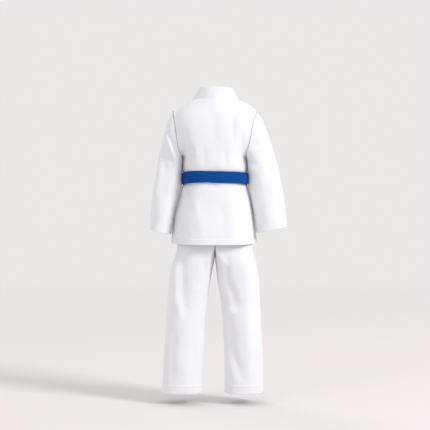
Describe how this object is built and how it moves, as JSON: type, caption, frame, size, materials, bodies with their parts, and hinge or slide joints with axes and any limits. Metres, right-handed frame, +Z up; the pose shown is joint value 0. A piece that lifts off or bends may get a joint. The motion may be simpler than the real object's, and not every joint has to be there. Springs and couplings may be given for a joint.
{
  "type": "martial arts uniform",
  "caption": "Child's white cotton karate uniform: crossover jacket with wide sleeves, blue cloth belt wrapped twice and tied at the front, and straight drawstring trousers.",
  "frame": {"origin": "middle of the wearer's waist, level with the belt at the sides", "axes": "+Z up the wearer, front of the uniform towards -Y, wearer's left towards +X"},
  "size_m": [0.4352, 0.1978, 0.9666],
  "materials": {
    "white_cotton": "matte plain weave cotton",
    "stitched_band": "matte cotton, several layers sewn with parallel rows of stitches",
    "blue_belt": "satin cotton belt with lengthwise rows of stitches",
    "eyelet_metal": "small pressed metal rings"
  },
  "bodies": {
    "jacket": {"jacket_back": "white_cotton", "jacket_front_left": "white_cotton", "jacket_front_right": "white_cotton", "collar_back": "stitched_band", "lapel_left": "stitched_band", "lapel_right": "stitched_band", "vent_patch_left": "stitched_band", "vent_patch_right": "stitched_band", "outer_tie_front": "stitched_band", "outer_tie_side": "stitched_band", "outer_tie_bow": "stitched_band", "belt_wrap_inner": "blue_belt", "belt_wrap_outer": "blue_belt", "belt_knot": "blue_belt"},
    "upper_sleeve_left": {"sleeve_left_upper": "white_cotton"},
    "lower_sleeve_left": {"sleeve_left_lower": "white_cotton", "cuff_left": "stitched_band"},
    "upper_sleeve_right": {"sleeve_right_upper": "white_cotton"},
    "lower_sleeve_right": {"sleeve_right_lower": "white_cotton", "cuff_right": "stitched_band"},
    "belt_end_left": {"belt_end_left": "blue_belt"},
    "belt_end_right": {"belt_end_right": "blue_belt"},
    "trousers": {"trousers_waistband": "stitched_band", "trousers_seat": "white_cotton", "eyelet_left": "eyelet_metal", "eyelet_right": "eyelet_metal"},
    "upper_leg_left": {"leg_left_upper": "white_cotton"},
    "lower_leg_left": {"leg_left_lower": "white_cotton", "leg_left_hem": "stitched_band"},
    "upper_leg_right": {"leg_right_upper": "white_cotton"},
    "lower_leg_right": {"leg_right_lower": "white_cotton", "leg_right_hem": "stitched_band"}
  },
  "joints": [
    {"name": "shoulder_left", "type": "hinge", "parent": "jacket", "child": "upper_sleeve_left", "pos_m": [0.12, 0, 0.197], "axis": [0, -1, 0], "range_deg": [0, 80]},
    {"name": "shoulder_right", "type": "hinge", "parent": "jacket", "child": "upper_sleeve_right", "pos_m": [-0.12, 0, 0.197], "axis": [0, 1, 0], "range_deg": [0, 80]},
    {"name": "elbow_left", "type": "hinge", "parent": "upper_sleeve_left", "child": "lower_sleeve_left", "pos_m": [0.147, -0.001, -0.02], "axis": [-1, 0, 0], "range_deg": [0, 75]},
    {"name": "elbow_right", "type": "hinge", "parent": "upper_sleeve_right", "child": "lower_sleeve_right", "pos_m": [-0.152, -0.001, -0.02], "axis": [-1, 0, 0], "range_deg": [0, 75]},
    {"name": "belt_end_left_swing", "type": "hinge", "parent": "jacket", "child": "belt_end_left", "pos_m": [0.0186, -0.0923, -0.0302], "axis": [-1, 0, 0], "range_deg": [0, 75]},
    {"name": "belt_end_right_swing", "type": "hinge", "parent": "jacket", "child": "belt_end_right", "pos_m": [-0.0186, -0.0923, -0.0302], "axis": [-1, 0, 0], "range_deg": [0, 75]},
    {"name": "trousers_slide", "type": "slide", "parent": "jacket", "child": "trousers", "axis": [0, 0, -1], "range_m": [0, 0.25]},
    {"name": "hip_left", "type": "hinge", "parent": "trousers", "child": "upper_leg_left", "pos_m": [0.066, 0, -0.225], "axis": [-1, 0, 0], "range_deg": [-25, 38]},
    {"name": "hip_right", "type": "hinge", "parent": "trousers", "child": "upper_leg_right", "pos_m": [-0.066, 0, -0.225], "axis": [-1, 0, 0], "range_deg": [-25, 38]},
    {"name": "knee_left", "type": "hinge", "parent": "upper_leg_left", "child": "lower_leg_left", "pos_m": [0.085, 0.001, -0.4], "axis": [1, 0, 0], "range_deg": [0, 65]},
    {"name": "knee_right", "type": "hinge", "parent": "upper_leg_right", "child": "lower_leg_right", "pos_m": [-0.083, 0.001, -0.4], "axis": [1, 0, 0], "range_deg": [0, 65]}
  ]
}
